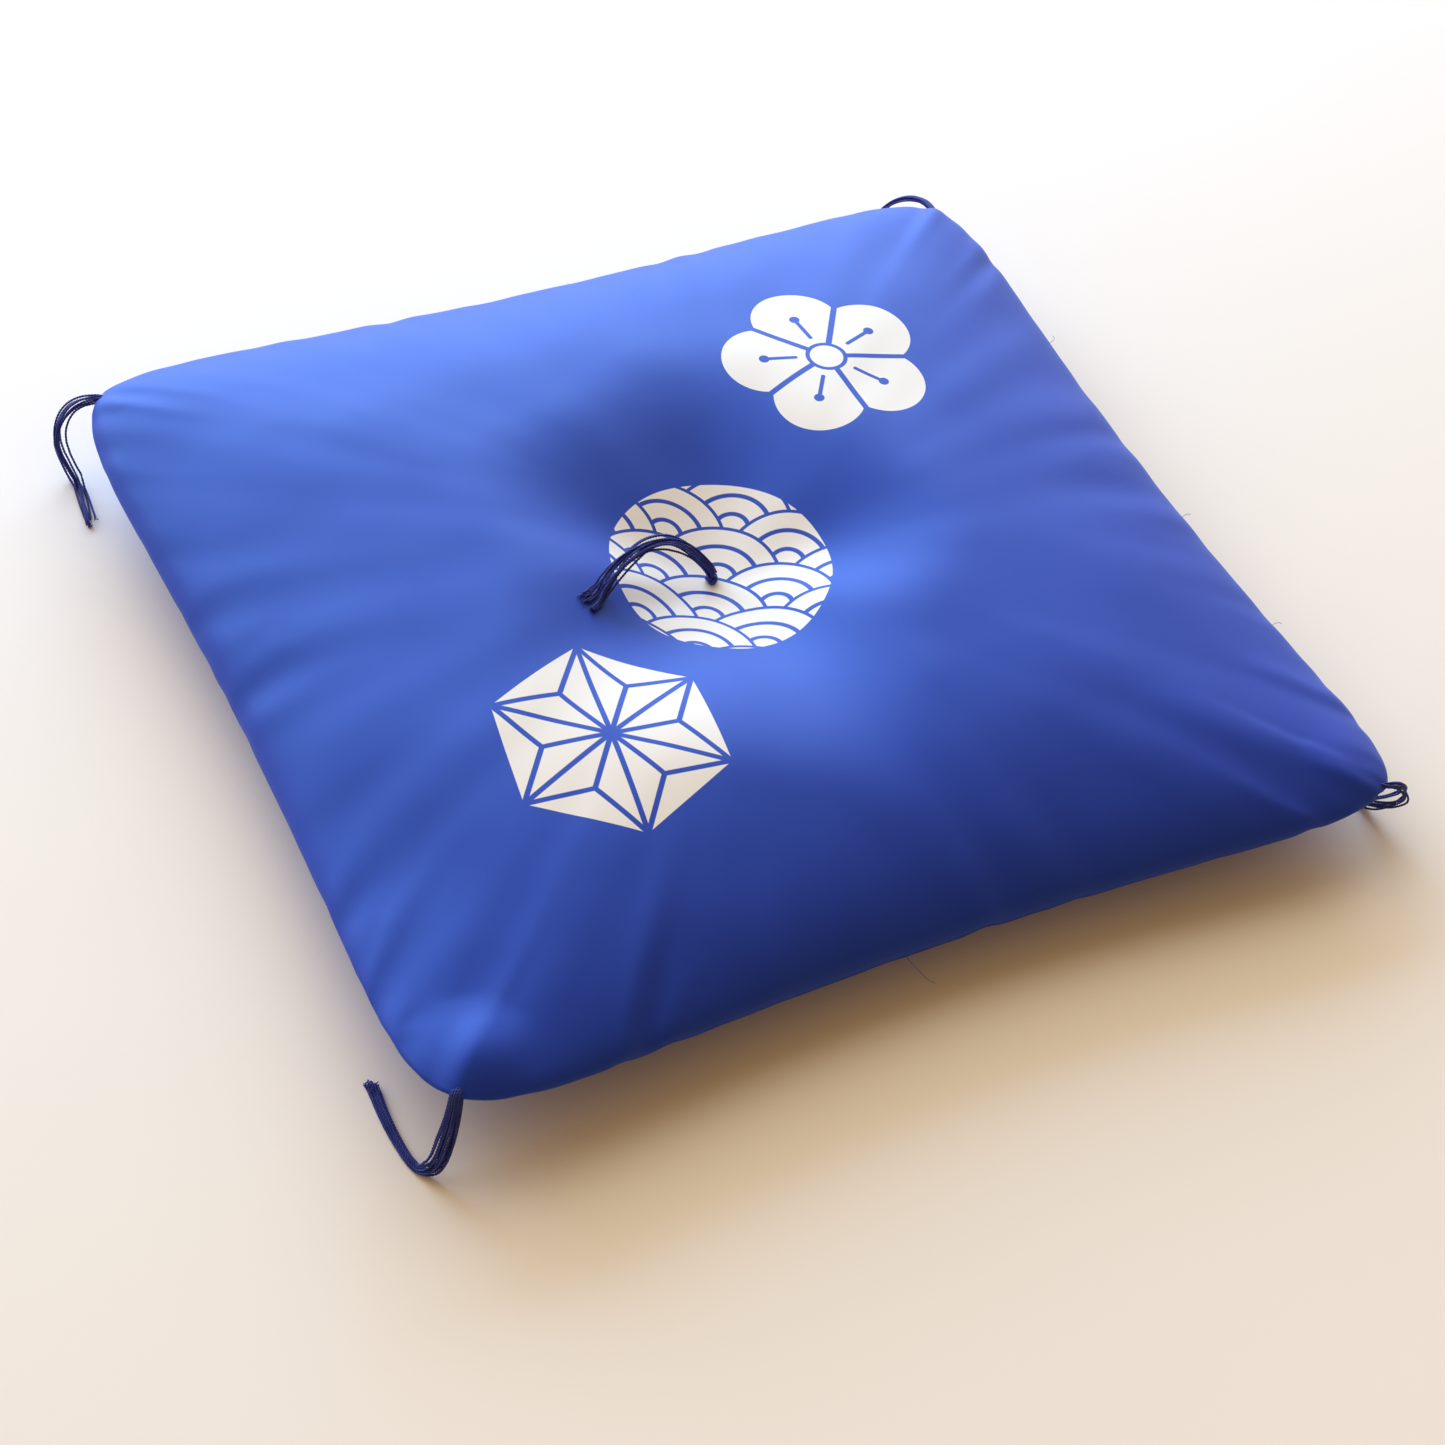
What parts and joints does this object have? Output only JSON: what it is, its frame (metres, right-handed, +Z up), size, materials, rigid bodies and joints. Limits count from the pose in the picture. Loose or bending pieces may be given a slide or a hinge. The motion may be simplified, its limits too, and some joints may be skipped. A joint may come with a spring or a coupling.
{
  "type": "floor cushion",
  "caption": "Rectangular padded floor cushion with a sewn two-panel cover, wadding inside, a tied centre dimple, and thread tassels at the centre and the corners.",
  "frame": {"origin": "on the floor, under the middle of the cover's outline", "axes": "+X from the left edge to the right edge, +Y from the front edge to the back edge, +Z up"},
  "size_m": [0.4883, 0.4489, 0.063],
  "materials": {
    "cover_fabric": "satin-look woven polyester, royal blue, printed",
    "sewing_thread": "spun polyester sewing thread, royal blue",
    "tassel_thread": "twisted thread, dark navy, slight lustre",
    "wadding": "matt cotton and polyester wadding, off-white"
  },
  "bodies": {
    "root": {"bottom_cover": "cover_fabric", "top_cover": "cover_fabric", "seam_bobbin_thread": "sewing_thread", "seam_needle_thread": "sewing_thread", "closing_stitches": "sewing_thread", "wadding_lower": "wadding", "wadding_centre_pad": "wadding", "wadding_upper": "wadding", "centre_tie": "tassel_thread", "underside_knot": "tassel_thread", "centre_knot": "tassel_thread", "centre_tassel": "tassel_thread", "corner_knot_front_left": "tassel_thread", "corner_knot_front_right": "tassel_thread", "corner_knot_back_right": "tassel_thread", "corner_knot_back_left": "tassel_thread", "tassel_front_left": "tassel_thread", "tassel_front_right": "tassel_thread", "tassel_back_right": "tassel_thread", "tassel_back_left": "tassel_thread"}
  },
  "joints": []
}
